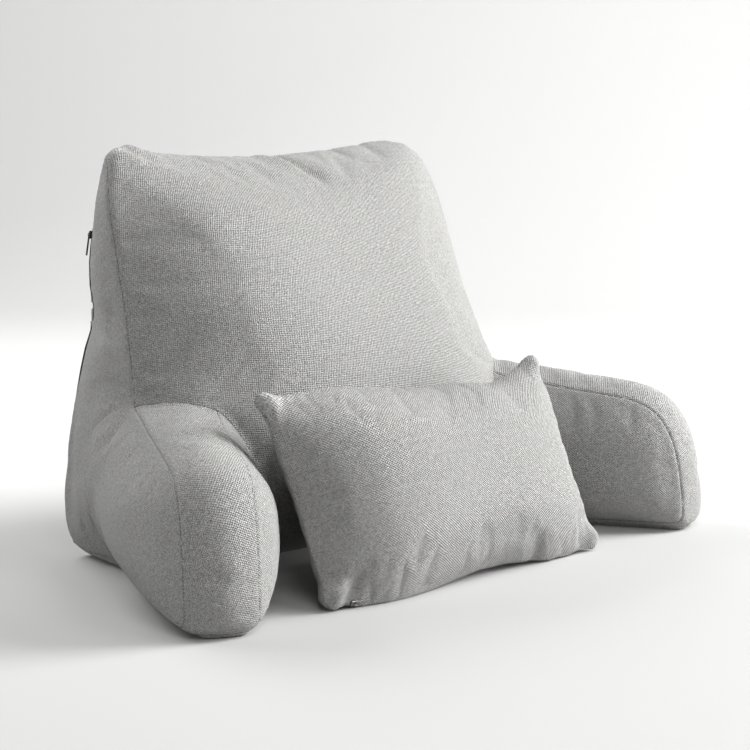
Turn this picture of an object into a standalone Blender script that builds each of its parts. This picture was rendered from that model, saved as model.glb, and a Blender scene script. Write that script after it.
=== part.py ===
"""Reading pillow with two arms, and the small lumbar cushion that stands between them.

Metres. +X is the right of a viewer in front, -Y the front, +Z up. The origin is on the floor
at the middle of the set's width and depth.
"""

import math

import bmesh
import bpy
import numpy as np
from mathutils import Matrix

SEWING_GAP = 0.0003
DEPTH_MIDDLE = 0.2342

# Back cushion, a wedge: the front seams lean back and the rear face stands upright.
# crown: how far the front panel stands in front of its seams. swell: of the side and rear panels.
BACK_COLUMNS = ("z", "seam_x", "seam_y", "crown", "side_swell", "rear_x", "rear_y", "rear_swell")
BACK_LEVELS = (
    (0.000, 0.296, 0.285, 0.000, 0.000, 0.272, 0.438, 0.000),
    (0.005, 0.307, 0.268, 0.004, 0.003, 0.281, 0.450, 0.002),
    (0.016, 0.314, 0.254, 0.014, 0.006, 0.289, 0.457, 0.004),
    (0.038, 0.316, 0.249, 0.052, 0.010, 0.293, 0.462, 0.008),
    (0.074, 0.316, 0.258, 0.082, 0.012, 0.292, 0.464, 0.012),
    (0.114, 0.314, 0.270, 0.111, 0.012, 0.288, 0.464, 0.015),
    (0.164, 0.311, 0.286, 0.128, 0.011, 0.283, 0.463, 0.017),
    (0.213, 0.307, 0.301, 0.128, 0.010, 0.275, 0.461, 0.018),
    (0.263, 0.301, 0.317, 0.114, 0.009, 0.263, 0.459, 0.018),
    (0.290, 0.2975, 0.3255, 0.102, 0.0085, 0.252, 0.458, 0.0175),
    (0.313, 0.295, 0.333, 0.094, 0.008, 0.2495, 0.457, 0.017),
    (0.340, 0.293, 0.3415, 0.086, 0.008, 0.2555, 0.456, 0.016),
    (0.370, 0.2915, 0.351, 0.077, 0.008, 0.2565, 0.455, 0.014),
    (0.413, 0.289, 0.3645, 0.065, 0.007, 0.251, 0.453, 0.012),
    (0.448, 0.285, 0.376, 0.052, 0.006, 0.246, 0.452, 0.009),
    (0.478, 0.277, 0.386, 0.038, 0.005, 0.238, 0.450, 0.006),
    (0.498, 0.266, 0.395, 0.025, 0.003, 0.229, 0.447, 0.004),
    (0.511, 0.252, 0.404, 0.013, 0.001, 0.219, 0.441, 0.002),
    (0.518, 0.234, 0.413, 0.003, 0.000, 0.206, 0.432, 0.000),
)
TALLEST_STEP = 0.032
SAG_FROM, TOP_SAG, SAG_HALF_WIDTH = 0.313, 0.020, 0.25
CROWN_BREADTH, CROWN_ROUND = 2.7, 1.25
REAR_CORNER = 0.012
FRONT_PIECES, SIDE_PIECES, CORNER_PIECES = 26, 7, 3

# Arms, a D seen from the side. A sewn strip runs over the top and down the front.
# Plan of the strip's two seam lines on the right arm: foot at the front, heel at the back cushion.
INNER_FOOT, INNER_HEEL = (0.371, 0.000), (0.234, 0.238)
OUTER_FOOT, OUTER_HEEL = (0.446, 0.038), (0.3085, 0.2986)
ARM_LENGTH = 0.430
BASE_SEAM_HEIGHT = 0.013
STRIP_CROWN, HEEL_CROWN, HEEL_START = 0.016, 0.45, 0.17
STRIP_PARTS = (0.0, 0.07, 0.20, 0.36, 0.50, 0.64, 0.80, 0.93, 1.0)
# Side panels of an arm: middle as (distance back, height), crown, swell of the base seam.
INNER_PANEL = ((0.175, 0.090), 0.046, 0.006)
OUTER_PANEL = ((0.235, 0.094), 0.050, 0.015)
BASE_SWELL_LENGTH, BASE_SWELL_HEIGHT = 0.34, 0.10
PANEL_BREADTH, PANEL_ROUND = 2.2, 1.15
PANEL_STEPS = (0.16, 0.36, 0.55, 0.71, 0.84, 0.93, 0.98)
# Seam of the strip: distance back from the foot, height.
ARM_SEAM = (
    (0.001, 0.014),
    (0.001, 0.034),
    (0.003, 0.054),
    (0.005, 0.070),
    (0.009, 0.095),
    (0.016, 0.121),
    (0.027, 0.144),
    (0.041, 0.160),
    (0.058, 0.170),
    (0.078, 0.176),
    (0.103, 0.1795),
    (0.139, 0.184),
    (0.180, 0.1895),
    (0.230, 0.198),
    (0.275, 0.206),
    (0.330, 0.211),
    (0.415, 0.214),
)
SEAM_PIECES = 30
ARM_REAR_HEIGHTS = (0.190, 0.150, 0.105, 0.060, 0.028)
ARM_BASE = (0.430, 0.395, 0.355, 0.310, 0.265, 0.220, 0.175, 0.130, 0.090, 0.055, 0.028, 0.010)

# Lumbar cushion: knife-edged, stands on a long edge and leans back.
LUMBAR_WIDTH, LUMBAR_HEIGHT = 0.463, 0.258
LUMBAR_FRONT_CROWN, LUMBAR_REAR_CROWN, LUMBAR_EDGE = 0.065, 0.089, 0.0015
LUMBAR_LEAN, LUMBAR_TURN = 22.3, -0.8
LUMBAR_FOOT = (-0.0225, 0.0165, 0.002)
LUMBAR_SIDE_DRAW, LUMBAR_TOP_SHIFT, LUMBAR_TOP_SPREAD = 0.004, -0.012, 1.02
# How far the top edge is drawn down between its corners: place across, distance.
LUMBAR_TOP_DRAW = (
    (-1.0, 0.000),
    (-0.7, 0.012),
    (0.0, 0.019),
    (0.38, 0.018),
    (0.56, 0.025),
    (0.77, 0.015),
    (0.9, 0.006),
    (1.0, 0.000),
)
LUMBAR_BREADTH, LUMBAR_ROUND = 2.4, 1.5
LUMBAR_HEEL_BREADTH = 6.0
LUMBAR_PIECES = (24, 18)

# How far the bottom edge is lifted off the floor: place across, distance.
LUMBAR_FOOT_LIFT = (
    (-1.0, 0.000),
    (-0.6, 0.001),
    (-0.1, 0.007),
    (0.2, 0.008),
    (0.5, 0.002),
    (0.7, 0.000),
    (1.0, 0.000),
)

# Side zip, closed, on the left rear corner. Profile of its tapes and teeth: across, outward.
ZIP_TOP, ZIP_FOOT, ZIP_GAP = 0.413, 0.016, 0.0005
ZIP_PROFILE = (
    (-0.0032, 0.0000),
    (0.0032, 0.0000),
    (0.0032, 0.0006),
    (0.0014, 0.0016),
    (-0.0014, 0.0016),
    (-0.0032, 0.0006),
)
SLIDER_SIZE, SLIDER_BEVEL = (0.0074, 0.0100, 0.0030), 0.0008
SLIDER_BELOW_TOP = 0.009
ARCH_RADIUS, ARCH_WIRE = 0.0024, 0.0005
PULLER_SIZE, PULLER_HOLE, PULLER_LIP, PULLER_GAP = (0.0042, 0.0260, 0.0008), 0.0013, 0.0008, 0.0003
LOOP_SIZE, LOOP_WIRE = (0.0068, 0.0200), 0.0005
LUMBAR_SLIDER_PLACE, LUMBAR_SLIDER_RISE, LUMBAR_SLIDER_GAP = -0.84, 0.0050, 0.0005

CLOTH = (0.50, 0.50, 0.49, 1.0)
ZIP_TAPE = (0.22, 0.22, 0.22, 1.0)
DARK_METAL = (0.10, 0.10, 0.10, 1.0)
BRIGHT_METAL = (0.55, 0.55, 0.54, 1.0)


def clear_scene():
    for item in list(bpy.data.objects):
        bpy.data.objects.remove(item, do_unlink=True)


def collection_named(name):
    found = bpy.data.collections.new(name)
    bpy.context.scene.collection.children.link(found)
    return found


def material_named(name, colour, roughness, metallic=0.0):
    made = bpy.data.materials.new(name)
    made.use_nodes = True
    shader = made.node_tree.nodes["Principled BSDF"]
    shader.inputs["Base Color"].default_value = colour
    shader.inputs["Roughness"].default_value = roughness
    shader.inputs["Metallic"].default_value = metallic
    made.diffuse_color = colour
    return made


def eased(stations, values, at):
    """Cubic through the table's values, its slopes limited so that it never overshoots."""
    step = np.diff(stations)
    rise = np.diff(values) / step
    slope = np.zeros(len(values))
    slope[0], slope[-1] = rise[0], rise[-1]
    for k in range(1, len(values) - 1):
        if rise[k - 1] * rise[k] > 0:
            near, far = 2 * step[k] + step[k - 1], step[k] + 2 * step[k - 1]
            slope[k] = (near + far) / (near / rise[k - 1] + far / rise[k])
    k = int(np.clip(np.searchsorted(stations, at) - 1, 0, len(step) - 1))
    u = (at - stations[k]) / step[k]
    start = (1 + 2 * u) * (1 - u) ** 2 * values[k] + u * (1 - u) ** 2 * step[k] * slope[k]
    end = u * u * (3 - 2 * u) * values[k + 1] + u * u * (u - 1) * step[k] * slope[k + 1]
    return start + end


def reach_of(points):
    return np.concatenate([[0.0], np.cumsum(np.linalg.norm(np.diff(points, axis=0), axis=1))])


def even_along(points, count):
    """The open line through the points, cut into pieces of equal length."""
    reach = reach_of(points)
    wanted = np.linspace(0.0, reach[-1], count + 1)
    return np.stack([np.interp(wanted, reach, column) for column in points.T], -1)


def back_at(height):
    table = np.array(BACK_LEVELS)
    return {name: eased(table[:, 0], column, height) for name, column in zip(BACK_COLUMNS, table.T)}


def back_ring(height):
    """One level of the back cushion: front, right side, rear and left side, rear corners rounded."""
    level = back_at(height)
    seam = np.array([level["seam_x"], level["seam_y"]])
    rear = np.array([level["rear_x"], level["rear_y"]])
    sweep = np.sin(np.linspace(-1.0, 1.0, 161) * math.pi / 2)
    fullness = (1 - np.abs(sweep) ** CROWN_BREADTH) ** (1 / CROWN_ROUND)
    front = np.stack([seam[0] * sweep, seam[1] - level["crown"] * fullness], -1)
    front = even_along(front, FRONT_PIECES)

    run = rear - seam
    length = np.linalg.norm(run)
    outward = np.array([run[1], -run[0]]) / length
    corner = min(REAR_CORNER, 0.35 * length)
    along = np.linspace(0.0, 1 - corner / length, SIDE_PIECES + 1)
    bulge = 4 * along * (1 - along) * level["side_swell"]
    side = seam + np.outer(along, run) + np.outer(bulge, outward)

    across = np.linspace(1.0, -1.0, FRONT_PIECES + 1) * (1 - corner / rear[0])
    behind = np.stack([rear[0] * across, rear[1] + level["rear_swell"] * (1 - across**2)], -1)
    bend = np.linspace(0.0, 1.0, CORNER_PIECES + 1)[1:-1, None]
    turn = (1 - bend) ** 2 * side[-1] + 2 * bend * (1 - bend) * rear + bend**2 * behind[0]

    half = np.concatenate([side[1:], turn])
    ring = np.concatenate([front, half, behind, (half * (-1, 1))[::-1]])
    sag = TOP_SAG * max(0.0, (height - SAG_FROM) / (BACK_LEVELS[-1][0] - SAG_FROM)) ** 2
    edge = np.clip(np.abs(ring[:, 0]) / SAG_HALF_WIDTH, 0, 1)
    return np.column_stack([ring, height - sag * (1 - edge**2)])


def back_heights():
    """The table's levels, with one more between those that stand far apart."""
    found = []
    for low, high in zip(BACK_LEVELS, BACK_LEVELS[1:]):
        found.append(low[0])
        if high[0] - low[0] > TALLEST_STEP:
            found.append((low[0] + high[0]) / 2)
    return [*found, BACK_LEVELS[-1][0]]


def arm_seam():
    """The strip's seam line as a smooth curve of even pieces."""
    table = np.array(ARM_SEAM)
    reach = reach_of(table)
    stops = np.linspace(0, reach[-1], 241)
    fine = np.array([[eased(reach, column, at) for column in table.T] for at in stops])
    return even_along(fine, SEAM_PIECES)


def arm_outline(crown, base_height):
    """Side view of an arm as (distance back, height), its strip raised by the crown."""
    seam = arm_seam()
    ahead = np.gradient(seam, axis=0)
    ahead /= np.linalg.norm(ahead, axis=1)[:, None]
    lift = np.stack([-ahead[:, 1], ahead[:, 0]], -1)
    near_floor = np.clip(0.8 + seam[:, 1] / 0.20, 0.0, 1.0)
    near_heel = 1 - (1 - HEEL_CROWN) * np.clip((seam[:, 0] - HEEL_START) / 0.12, 0, 1)
    top = seam + lift * (crown * near_floor * near_heel)[:, None]
    rear = [(ARM_LENGTH, z) for z in ARM_REAR_HEIGHTS]
    base = [(s - 0.6 * crown * max(0.0, 1 - s / 0.06), base_height) for s in ARM_BASE]
    return np.concatenate([top, rear, base])


def arm_panel(side, inner, shape, out):
    """Points of an arm's inner or outer panel, moved out of the panel's plane."""
    foot, heel = (INNER_FOOT, INNER_HEEL) if inner else (OUTER_FOOT, OUTER_HEEL)
    run = np.subtract(heel, foot)
    run /= np.linalg.norm(run)
    outward = np.array([-run[1], run[0]]) if inner else np.array([run[1], -run[0]])
    plan = foot + np.outer(shape[:, 0], run) + np.outer(out, outward)
    return np.column_stack([side * plan[:, 0], plan[:, 1], shape[:, 1]])


def base_swell(shape, amount):
    along = np.sin(math.pi * np.clip(shape[:, 0] / BASE_SWELL_LENGTH, 0, 1)) ** 0.8
    return amount * along * np.clip(1 - shape[:, 1] / BASE_SWELL_HEIGHT, 0, 1) ** 1.5


def crowned_panel(side, inner):
    """Rings of a side panel, from near its middle out to its seam."""
    centre, crown, swell = INNER_PANEL if inner else OUTER_PANEL
    flat = arm_outline(0.0, BASE_SEAM_HEIGHT)
    rings = []
    for step in PANEL_STEPS:
        full = (1 - step**PANEL_BREADTH) ** (1 / PANEL_ROUND)
        out = crown * full + base_swell(flat, swell) * step**2
        rings.append(arm_panel(side, inner, centre + (flat - centre) * step, out))
    return rings


def arm_rings(side):
    """Rings from the middle of the inner panel, over the strip, to the middle of the outer one."""
    flat = arm_outline(0.0, BASE_SEAM_HEIGHT)
    inner_edge = base_swell(flat, INNER_PANEL[2])
    outer_edge = base_swell(flat, OUTER_PANEL[2])
    strip = []
    for part in STRIP_PARTS:
        crown = STRIP_CROWN * (1 - (2 * part - 1) ** 2) ** 0.85
        to_seam = min(part, 1 - part) / STRIP_PARTS[2]
        shape = arm_outline(crown, BASE_SEAM_HEIGHT * max(0.0, 1 - to_seam) ** 1.5)
        near = arm_panel(side, True, shape, inner_edge)
        far = arm_panel(side, False, shape, outer_edge)
        strip.append(near * (1 - part) + far * part)
    return crowned_panel(side, True) + strip + crowned_panel(side, False)[::-1]


def loft_faces(count, levels):
    faces = []
    for low in range(0, (levels - 1) * count, count):
        for k in range(count):
            after = (k + 1) % count
            faces.append((low + k, low + after, low + count + after, low + count + k))
    return faces


def body_from(name, points, faces, material, group):
    mesh = bpy.data.meshes.new(name)
    mesh.from_pydata([tuple(map(float, p)) for p in points], [], faces)
    shell = bmesh.new()
    shell.from_mesh(mesh)
    bmesh.ops.translate(shell, verts=shell.verts, vec=(0.0, -DEPTH_MIDDLE, 0.0))
    bmesh.ops.recalc_face_normals(shell, faces=shell.faces)
    bmesh.ops.triangulate(shell, faces=shell.faces)
    for face in shell.faces:
        face.smooth = True
    shell.to_mesh(mesh)
    shell.free()
    made = bpy.data.objects.new(name, mesh)
    group.objects.link(made)
    mesh.materials.append(material)
    return made


def back_cushion(material, group):
    rings = [back_ring(height) for height in back_heights()]
    count = len(rings[0])
    faces = loft_faces(count, len(rings))
    faces.append(tuple(range(count))[::-1])
    last = (len(rings) - 1) * count
    rear = FRONT_PIECES + SIDE_PIECES + CORNER_PIECES
    for k in range(FRONT_PIECES):
        ridge = (k, k + 1, rear + FRONT_PIECES - k - 1, rear + FRONT_PIECES - k)
        faces.append(tuple(last + v for v in ridge))
    faces.append(tuple(last + v for v in range(FRONT_PIECES, rear + 1)))
    faces.append(tuple(last + v for v in [*range(rear + FRONT_PIECES, count), 0]))
    return body_from("back_cushion", np.concatenate(rings), faces, material, group)


def arm(name, side, material, group):
    rings = arm_rings(side)
    count = len(rings[0])
    faces = loft_faces(count, len(rings))
    last = (len(rings) - 1) * count
    faces.append(tuple(range(count)))
    faces.append(tuple(last + k for k in range(count)))
    return body_from(name, np.concatenate(rings), faces, material, group)


def lumbar_frame():
    """Axes of the lumbar cushion: along its width, up its height, out of its front."""
    lean, turn = math.radians(LUMBAR_LEAN), math.radians(LUMBAR_TURN)
    along = np.array([math.cos(turn), math.sin(turn), 0.0])
    rearward = np.array([-math.sin(turn), math.cos(turn), 0.0])
    up = math.cos(lean) * np.array([0, 0, 1.0]) + math.sin(lean) * rearward
    return along, up, np.cross(along, up)


def lumbar_point(u, v, front):
    """Point of the lumbar cushion, u across and v up from -1 to 1, on its front or rear face."""
    along, up, forward = lumbar_frame()
    raised = (v + 1) / 2
    x = u * (LUMBAR_WIDTH / 2 * (1 + (LUMBAR_TOP_SPREAD - 1) * raised) - LUMBAR_SIDE_DRAW * (1 - v * v))
    x += LUMBAR_TOP_SHIFT * raised
    drawn = eased(*np.array(LUMBAR_TOP_DRAW).T, u)
    lifted = eased(*np.array(LUMBAR_FOOT_LIFT).T, u)
    y = v * LUMBAR_HEIGHT / 2 - drawn * max(0.0, v) ** 1.5 + lifted * max(0.0, -v) ** 3
    across = max(0.0, 1 - abs(u) ** LUMBAR_BREADTH) ** (1 / LUMBAR_ROUND)
    breadth = LUMBAR_HEEL_BREADTH if v < 0 and not front else LUMBAR_BREADTH
    upward = max(0.0, 1 - abs(v) ** breadth) ** (1 / LUMBAR_ROUND)
    crown = LUMBAR_FRONT_CROWN if front else LUMBAR_REAR_CROWN
    depth = LUMBAR_EDGE + (crown - LUMBAR_EDGE) * across * upward
    centre = np.array(LUMBAR_FOOT) + up * LUMBAR_HEIGHT / 2
    return centre + along * x + up * y + forward * (depth if front else -depth)


def closer_to_ends(count):
    spread = np.sin(np.linspace(-1, 1, count + 1) * math.pi * 0.43)
    return spread / spread[-1]


def lumbar_cushion(material, group):
    across, upward = LUMBAR_PIECES
    points, faces = [], []
    for front in (True, False):
        first = len(points)
        for v in closer_to_ends(upward):
            points += [lumbar_point(u, v, front) for u in closer_to_ends(across)]
        for row in range(upward):
            for k in range(across):
                low = first + row * (across + 1) + k
                high = low + across + 1
                faces.append((low, low + 1, high + 1, high))
    width = across + 1
    rim = [*range(across), *(width * r + across for r in range(upward))]
    rim += [width * upward + across - k for k in range(across)]
    rim += [width * (upward - r) for r in range(upward)]
    far = width * (upward + 1)
    for k, here in enumerate(rim):
        after = rim[(k + 1) % len(rim)]
        faces.append((here, after, after + far, here + far))
    return body_from("lumbar_cushion", points, faces, material, group)


def zip_stations():
    """Where the side zip crosses the levels of the rear corner: middle, across, outward."""
    found = []
    for height in back_heights():
        if ZIP_FOOT <= height <= ZIP_TOP:
            ring = back_ring(height)
            first = 2 * (FRONT_PIECES + 1) + SIDE_PIECES + CORNER_PIECES - 1
            near, far = ring[first], ring[first + 1]
            across = (near - far) / np.linalg.norm(near - far)
            found.append(((near + far) / 2, across, np.cross((0, 0, 1.0), across)))
    return found


def side_zip_chain(material, group):
    rings = []
    for middle, across, outward in zip_stations():
        rings.append([middle + across * w + outward * (ZIP_GAP + out) for w, out in ZIP_PROFILE])
    count = len(ZIP_PROFILE)
    faces = loft_faces(count, len(rings))
    faces.append(tuple(range(count)))
    faces.append(tuple((len(rings) - 1) * count + k for k in range(count)))
    return body_from("side_zip_chain", np.concatenate(rings), faces, material, group)


def frame_at(origin, across, along, outward):
    """Matrix that puts x across, y along and z out of the cloth."""
    frame = Matrix.Identity(4)
    moved = np.subtract(origin, (0.0, DEPTH_MIDDLE, 0.0))
    for column, axis in enumerate((across, along, outward, moved)):
        for row in range(3):
            frame[row][column] = float(axis[row])
    return frame


def side_slider_frame():
    (low, _, _), (high, rearward, _) = zip_stations()[-2:]
    along = (high - low) / np.linalg.norm(high - low)
    outward = np.cross(along, rearward)
    outward /= np.linalg.norm(outward)
    across = np.cross(along, outward)
    chain_height = ZIP_GAP + ZIP_PROFILE[3][1] + SEWING_GAP
    return frame_at(high - along * SLIDER_BELOW_TOP + outward * chain_height, across, along, outward)


def lumbar_slider_frame():
    """On the lowest part of the front face, beside the seam of the bottom edge."""
    place, low, high = LUMBAR_SLIDER_PLACE, -1.0, closer_to_ends(LUMBAR_PIECES[1])[1]
    foot, brow = lumbar_point(place, low, True), lumbar_point(place, high, True)
    rise = (brow - foot) / np.linalg.norm(brow - foot)
    middle = foot + rise * LUMBAR_SLIDER_RISE
    ahead = (low + high) / 2
    along = lumbar_point(place + 0.03, ahead, True) - lumbar_point(place - 0.03, ahead, True)
    along -= rise * (along @ rise)
    along /= np.linalg.norm(along)
    outward = np.cross(along, rise)
    return frame_at(middle + outward * LUMBAR_SLIDER_GAP, -rise, along, outward)


def adopt(made, name, frame, group, material=None):
    """Names a new object, moves it to its frame and collection and gives it its material."""
    made.name = name
    for other in list(made.users_collection):
        other.objects.unlink(made)
    group.objects.link(made)
    made.matrix_world = frame @ made.matrix_world
    if material:
        made.data.materials.append(material)
    return made


def plate(name, size, middle, frame, group, material):
    bpy.ops.mesh.primitive_cube_add(size=1.0)
    made = bpy.context.object
    made.scale = size
    bpy.ops.object.transform_apply(location=False, rotation=False, scale=True)
    made.location = middle
    bpy.context.view_layer.update()
    bevel = made.modifiers.new("rounded", "BEVEL")
    bevel.width = min(SLIDER_BEVEL, 0.3 * min(size))
    bevel.segments = 2
    return adopt(made, name, frame, group, material)


def hidden(made):
    made.hide_render = True
    made.display_type = "WIRE"
    return made


def zip_slider(name, frame, material, group, cutters):
    """Slider with the arch that holds its puller."""
    depth = SLIDER_SIZE[2]
    slider = plate(name, SLIDER_SIZE, (0, 0, depth / 2), frame, group, material)
    bpy.ops.mesh.primitive_torus_add(
        major_radius=ARCH_RADIUS,
        minor_radius=ARCH_WIRE,
        major_segments=28,
        minor_segments=8,
        location=(0, 0, depth - 0.0001),
        rotation=(0, math.pi / 2, 0),
    )
    arch = hidden(adopt(bpy.context.object, name + "_arch", frame, cutters))
    combine(slider, arch, "UNION")
    return slider


def flat_puller(name, frame, material, group, cutters):
    _, length, depth = PULLER_SIZE
    above = SLIDER_SIZE[2] + PULLER_GAP + depth / 2
    top = PULLER_HOLE + PULLER_LIP - ARCH_RADIUS
    puller = plate(name, PULLER_SIZE, (0, top - length / 2, above), frame, group, material)
    bpy.ops.mesh.primitive_cylinder_add(
        radius=PULLER_HOLE, depth=0.01, vertices=20, location=(0, -ARCH_RADIUS, above)
    )
    hole = hidden(adopt(bpy.context.object, name + "_hole", frame, cutters))
    combine(puller, hole, "DIFFERENCE")
    return puller


def loop_puller(name, frame, material, group):
    """Wire loop through the slider's arch."""
    width, length = LOOP_SIZE
    radius = width / 2
    above = SLIDER_SIZE[2] + PULLER_GAP + LOOP_WIRE
    turns = np.linspace(0, math.pi, 9)
    far = [(radius * math.cos(a), length - radius + radius * math.sin(a), above) for a in turns]
    near = [(-radius * math.cos(a), radius - radius * math.sin(a), above) for a in turns]
    path = bpy.data.curves.new(name, "CURVE")
    path.dimensions = "3D"
    path.bevel_depth = LOOP_WIRE
    path.bevel_resolution = 2
    spline = path.splines.new("POLY")
    spline.points.add(len(far + near) - 1)
    for point, at in zip(spline.points, far + near):
        point.co = (*at, 1.0)
    spline.use_cyclic_u = True
    made = bpy.data.objects.new(name, path)
    bpy.context.scene.collection.objects.link(made)
    return adopt(made, name, frame, group, material)


def swelled_copy(source, name, grown, group):
    """A hidden copy of a part, swelled by the sewing gap, that cuts its neighbour clear of it."""
    made = hidden(source.copy())
    made.data = source.data.copy()
    made.name = name
    group.objects.link(made)
    swell = made.modifiers.new("swell", "DISPLACE")
    swell.strength = grown
    swell.mid_level = 0.0
    return made


def floor_below(group):
    bpy.ops.mesh.primitive_cube_add(size=1.0)
    made = bpy.context.object
    made.scale = (2.0, 2.0, 1.0)
    bpy.ops.object.transform_apply(location=False, rotation=False, scale=True)
    return hidden(adopt(made, "floor_below", Matrix.Translation((0, 0, -0.5)), group))


def combine(part, other, operation):
    step = part.modifiers.new(operation.lower() + " " + other.name, "BOOLEAN")
    step.operation = operation
    step.object = other
    step.solver = "EXACT"


def main():
    clear_scene()
    group = collection_named("reading_pillow")
    cutters = collection_named("cutters")
    back_cloth = material_named("back_cloth", CLOTH, 0.95)
    arm_cloth = material_named("arm_cloth", CLOTH, 0.95)
    lumbar_cloth = material_named("lumbar_cloth", CLOTH, 0.95)
    zip_tape = material_named("zip_tape", ZIP_TAPE, 0.8)
    dark_metal = material_named("dark_metal", DARK_METAL, 0.4, 1.0)
    bright_metal = material_named("bright_metal", BRIGHT_METAL, 0.35, 1.0)

    back = back_cushion(back_cloth, group)
    back_swelled = swelled_copy(back, "back_swelled", 1.8 * SEWING_GAP, cutters)
    for name, side in (("arm_left", -1), ("arm_right", 1)):
        combine(arm(name, side, arm_cloth, group), back_swelled, "DIFFERENCE")
    lumbar = lumbar_cushion(lumbar_cloth, group)
    combine(lumbar, floor_below(cutters), "DIFFERENCE")
    combine(lumbar, back_swelled, "DIFFERENCE")

    side_zip_chain(zip_tape, group)
    side_frame = side_slider_frame()
    zip_slider("side_zip_slider", side_frame, dark_metal, group, cutters)
    flat_puller("side_zip_puller", side_frame, dark_metal, group, cutters)
    lumbar_frame_here = lumbar_slider_frame()
    zip_slider("lumbar_zip_slider", lumbar_frame_here, bright_metal, group, cutters)
    loop_puller("lumbar_zip_puller", lumbar_frame_here, bright_metal, group)


main()
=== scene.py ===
"""Looks of the reading pillow with arms and of the small lumbar cushion that leans on it.

Metres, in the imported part's frame: +X right, -Y front, +Z up, the floor at z = 0.
"""

import math

import bmesh
import bpy
import numpy as np
from mathutils import Matrix, Vector
from mathutils.bvhtree import BVHTree
from mathutils.kdtree import KDTree


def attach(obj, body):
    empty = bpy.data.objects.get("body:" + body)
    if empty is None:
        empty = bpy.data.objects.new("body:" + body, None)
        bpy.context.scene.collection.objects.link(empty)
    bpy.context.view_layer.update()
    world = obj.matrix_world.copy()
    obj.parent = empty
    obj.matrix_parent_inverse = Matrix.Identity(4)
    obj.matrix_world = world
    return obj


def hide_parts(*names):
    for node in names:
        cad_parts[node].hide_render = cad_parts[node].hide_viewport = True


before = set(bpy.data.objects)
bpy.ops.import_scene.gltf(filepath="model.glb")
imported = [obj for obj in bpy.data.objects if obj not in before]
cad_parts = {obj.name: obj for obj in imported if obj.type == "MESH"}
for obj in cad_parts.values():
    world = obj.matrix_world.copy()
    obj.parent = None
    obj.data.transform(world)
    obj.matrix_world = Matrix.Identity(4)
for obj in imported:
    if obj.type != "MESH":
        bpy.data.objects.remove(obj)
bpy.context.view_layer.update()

# Camera: turned to the left of the front, and a little above the floor.
CAMERA_PLACE = (-1.84383, -1.94056, 0.61510)
CAMERA_AZIMUTH, CAMERA_ELEVATION, CAMERA_VIEW = -43.979, 8.3, 20.0
SENSOR = 36.0

# Seams of the back cushion at each level: x and y of the front seam and of the rear corner.
BACK_SEAM_COLUMNS = ("z", "front_x", "front_y", "rear_x", "rear_y")
BACK_SEAMS = (
    (0.000, 0.2960, 0.0508, 0.2720, 0.2038),
    (0.016, 0.3140, 0.0198, 0.2890, 0.2228),
    (0.038, 0.3160, 0.0148, 0.2930, 0.2278),
    (0.114, 0.3140, 0.0358, 0.2880, 0.2298),
    (0.213, 0.3070, 0.0668, 0.2750, 0.2268),
    (0.263, 0.3010, 0.0828, 0.2630, 0.2248),
    (0.313, 0.2950, 0.0988, 0.2495, 0.2228),
    (0.340, 0.2930, 0.1073, 0.2555, 0.2218),
    (0.370, 0.2915, 0.1168, 0.2565, 0.2208),
    (0.413, 0.2890, 0.1303, 0.2510, 0.2188),
    (0.448, 0.2850, 0.1428, 0.2460, 0.2178),
    (0.478, 0.2770, 0.1560, 0.2380, 0.2158),
    (0.498, 0.2660, 0.1690, 0.2290, 0.2128),
    (0.511, 0.2520, 0.1780, 0.2190, 0.2068),
    (0.518, 0.2340, 0.1788, 0.2060, 0.1978),
)
# The strip of an arm lies between two upright planes, given by their foot and heel in plan,
# which swell out near the floor.
INNER_FOOT, INNER_HEEL = (0.371, -0.2342), (0.234, 0.0038)
OUTER_FOOT, OUTER_HEEL = (0.446, -0.1962), (0.3085, 0.0644)
INNER_SWELL, OUTER_SWELL = 0.006, 0.015
ARM_SWELL_LENGTH, ARM_SWELL_HEIGHT = 0.34, 0.10
ARM_SWELL_ROUNDNESS, ARM_SWELL_FADE = 0.8, 1.5
# Levels of the base panel's seam, and insets of the seams at the top corners and the rear.
BASE_SEAM, STRIP_BASE_SEAM = 0.0125, 0.005
TOP_CORNER_INSET, REAR_SEAM_INSET = 0.004, 0.006

# Lumbar cushion: middle of its lower edge, how far it leans back and turns.
LUMBAR_FOOT = (-0.0225, -0.2177, 0.002)
LUMBAR_LEAN, LUMBAR_TURN = 22.3, -0.8
# Its corners as (along, up), how round and full they are, and the drawn-in necks beside them.
LUMBAR_TALL = 0.258
LUMBAR_CORNERS = ((-0.2315, 0.0), (0.2315, 0.0), (-0.2481, 0.258), (0.2241, 0.258))
EAR_RADIUS, EAR_MIDDLE, EAR_BREADTH, EAR_FULLNESS = 0.016, 0.016, 0.014, 0.007
# How far past a corner its ear is still rounded, and the part of its radius that is full.
EAR_PAST, EAR_RIM = -0.02, 0.6
# How far each corner reaches out of the solid's, along and up, and over what breadth.
EAR_REACHES = ((-0.004, -0.002), (0.009, 0.0), (-0.010, 0.007), (-0.003, 0.009))
EAR_SPREADS = (0.024, 0.026, 0.028, 0.048)
NECK_PLACE, NECK_BREADTH, NECK_REACH, NECK_DEPTH, NECK_END = 0.036, 0.014, 0.03, 0.0025, 0.08
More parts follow.
